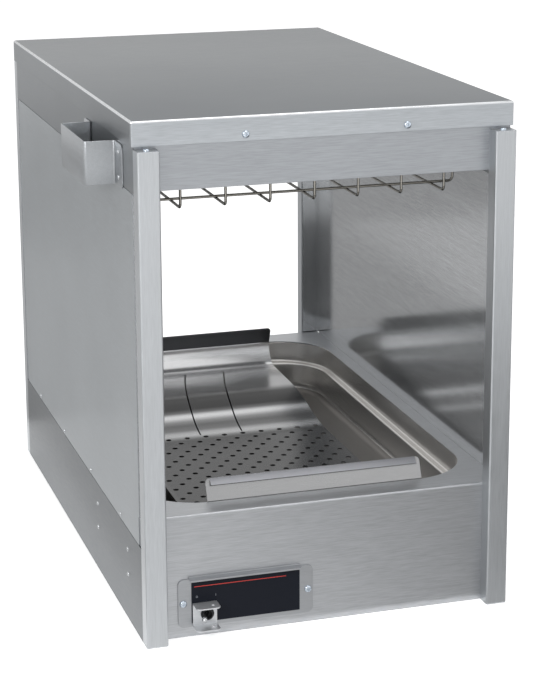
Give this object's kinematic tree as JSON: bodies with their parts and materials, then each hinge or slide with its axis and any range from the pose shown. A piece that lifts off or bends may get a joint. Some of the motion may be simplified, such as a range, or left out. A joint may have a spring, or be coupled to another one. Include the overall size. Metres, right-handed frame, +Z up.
{
  "type": "fry holding station",
  "caption": "Countertop pass-through warming cabinet for fried food, with a drawn pan, a curved perforated ribbon, overhead elements behind a wire guard and a toggle switch.",
  "frame": {"origin": "centre of the cabinet's rest face, on the counter", "axes": "+Z up; -Y is the operator's front with the control plate; +X is to the right seen from the front; -X is the side with the scoop holder"},
  "size_m": [0.4362, 0.6748, 0.5472],
  "materials": {
    "lid_steel": "horizontal brushed grain",
    "front_steel": "horizontal brushed grain",
    "side_steel": "fine brushed grain",
    "post_steel": "fine brushed grain",
    "pan_steel": "drawn, polished",
    "ribbon_steel": "rolled, polished",
    "guard_wire": "bright wire",
    "screw_steel": "plain",
    "rivet_steel": "plain",
    "reflector_aluminium": "specular",
    "element_sheath": "oxidised",
    "ceramic": null,
    "label_film": "dark printed film",
    "switch_case": "moulded",
    "nickel": "nickel plated",
    "lever_chrome": "plated",
    "inlet_plastic": "moulded"
  },
  "bodies": {
    "cabinet": {"top_lid": "lid_steel", "hood_front_header": "front_steel", "hood_rear_header": "front_steel", "hood_side_left": "side_steel", "hood_side_right": "side_steel", "side_panel_left": "side_steel", "side_panel_right": "side_steel", "base_side_left": "side_steel", "base_side_right": "side_steel", "deck_shell": "front_steel", "bottom_plate": "side_steel", "food_pan": "pan_steel", "post_front_left": "post_steel", "post_front_right": "post_steel", "post_rear_left": "post_steel", "post_rear_right": "post_steel", "post_screws": "screw_steel", "reflector": "reflector_aluminium", "heating_element_left": "element_sheath", "heating_element_right": "element_sheath", "element_insulators": "ceramic", "wire_guard": "guard_wire", "guard_clips": "side_steel", "control_plate": "post_steel", "control_label": "label_film", "plate_screws": "screw_steel", "switch_guard": "post_steel", "switch_body": "switch_case", "switch_nut": "nickel", "lid_screws": "screw_steel", "seam_rivets_left": "rivet_steel", "seam_rivets_right": "rivet_steel", "bracket_rivets": "rivet_steel", "holder_rivets": "rivet_steel", "scoop_holder": "side_steel", "base_heater": "reflector_aluminium", "thermostat": "switch_case", "component_bracket": "side_steel", "terminal_block": "ceramic", "cord_inlet": "inlet_plastic"},
    "ribbon": {"fry_ribbon": "ribbon_steel"},
    "lever": {"toggle_lever": "lever_chrome"}
  },
  "joints": [
    {"name": "ribbon_lift", "type": "slide", "parent": "cabinet", "child": "ribbon", "axis": [0, 0, 1], "range_m": [0, 0.12]},
    {"name": "toggle_swing", "type": "hinge", "parent": "cabinet", "child": "lever", "pos_m": [-0.1316, -0.3187, 0.0246], "axis": [0, 0, 1], "range_deg": [0, 44]}
  ]
}
